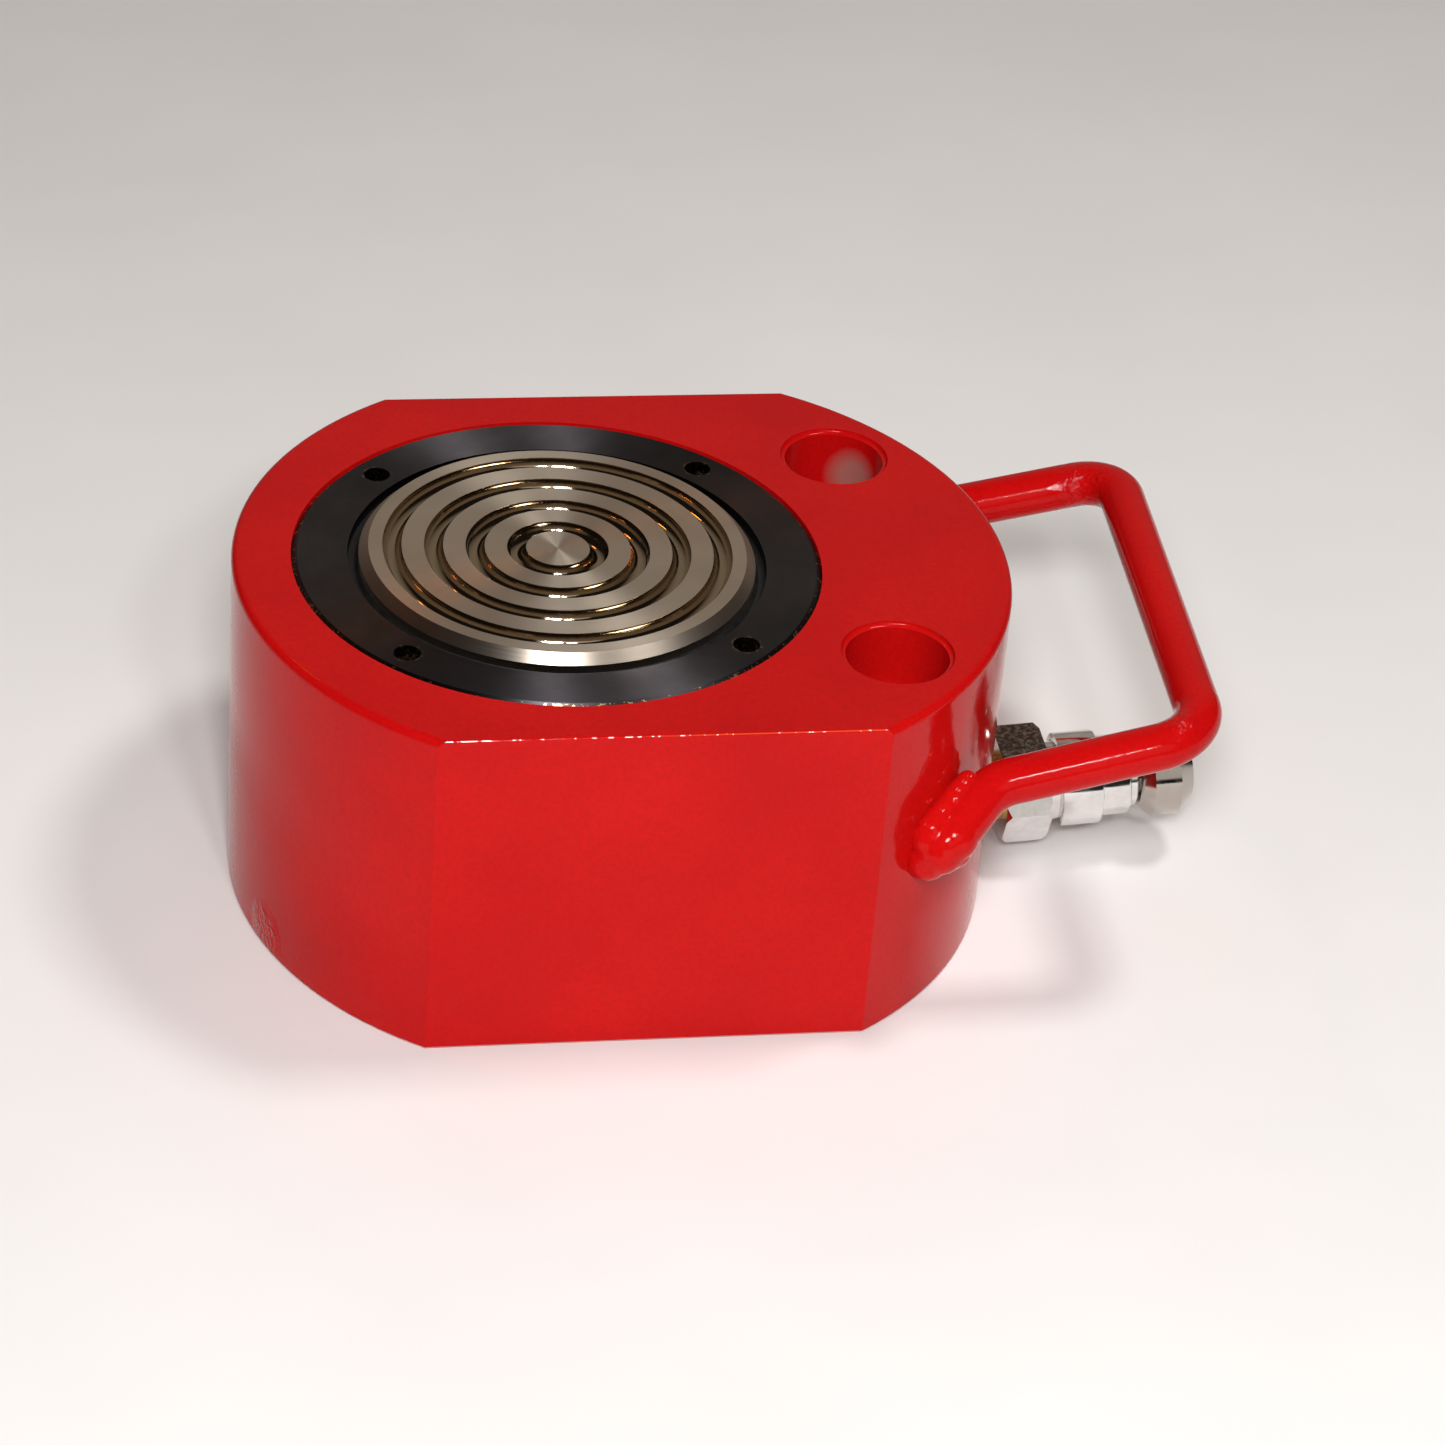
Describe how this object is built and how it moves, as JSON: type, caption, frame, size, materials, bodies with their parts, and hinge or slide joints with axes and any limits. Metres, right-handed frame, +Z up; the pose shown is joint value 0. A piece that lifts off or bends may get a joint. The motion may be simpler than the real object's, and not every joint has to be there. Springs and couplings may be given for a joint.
{
  "type": "low-height hydraulic cylinder",
  "caption": "Low-height hydraulic lifting cylinder: flat-sided steel block, grooved spring-return plunger, counterbored mounting holes, welded rod handle and oil hose quick coupler.",
  "frame": {"origin": "where the plunger's axis meets the block's base", "axes": "+Z up along the plunger's travel; +X towards the handle and the hose coupler; +Y to the side with the rear mounting hole"},
  "size_m": [0.1807, 0.114, 0.068],
  "materials": {
    "red_enamel": "gloss",
    "blackened_steel": "turned, black oxide",
    "turned_steel": "turned, satin",
    "nickel_plate": "bright plated",
    "yellow_zinc": "plated",
    "spring_steel": "bright drawn",
    "bronze": "turned",
    "nitrile_rubber": "matt",
    "polyurethane": "satin",
    "nylon": "matt"
  },
  "bodies": {
    "cylinder": {"cylinder_body": "red_enamel", "carry_handle": "red_enamel", "handle_weld_front": "red_enamel", "handle_weld_rear": "red_enamel", "gland_nut": "blackened_steel", "gland_seal": "nitrile_rubber", "rod_wiper": "nitrile_rubber", "rod_guide_ring": "bronze", "return_springs": "spring_steel", "port_nipple": "yellow_zinc", "coupler_body": "nickel_plate", "sleeve_spring": "spring_steel", "lock_balls": "spring_steel", "sleeve_retaining_ring": "spring_steel", "poppet_spring": "spring_steel"},
    "plunger": {"piston": "turned_steel", "piston_seal": "polyurethane", "piston_backup_ring": "nylon", "piston_wear_ring": "bronze"},
    "sleeve": {"coupler_sleeve": "nickel_plate"},
    "valve": {"poppet": "turned_steel", "poppet_seal": "nitrile_rubber"},
    "plug": {"dust_plug": "nickel_plate", "plug_o_ring": "nitrile_rubber"}
  },
  "joints": [
    {"name": "piston_slide", "type": "slide", "parent": "cylinder", "child": "plunger", "axis": [0, 0, 1], "range_m": [0, 0.016], "stiffness_N_per_m": 3000, "springref_m": -0.02, "deforming": ["return_springs"]},
    {"name": "sleeve_slide", "type": "slide", "parent": "cylinder", "child": "sleeve", "axis": [0.9973, 0, 0.0732], "range_m": [-0.002, 0], "stiffness_N_per_m": 600, "springref_m": 0.004, "deforming": ["sleeve_spring"]},
    {"name": "poppet_slide", "type": "slide", "parent": "cylinder", "child": "valve", "axis": [0.9973, 0, 0.0732], "range_m": [-0.0022, 0], "stiffness_N_per_m": 300, "springref_m": 0.004, "deforming": ["poppet_spring"]},
    {"name": "dust_plug_slide", "type": "slide", "parent": "cylinder", "child": "plug", "axis": [0.9973, 0, 0.0732], "range_m": [0, 0.025]}
  ]
}
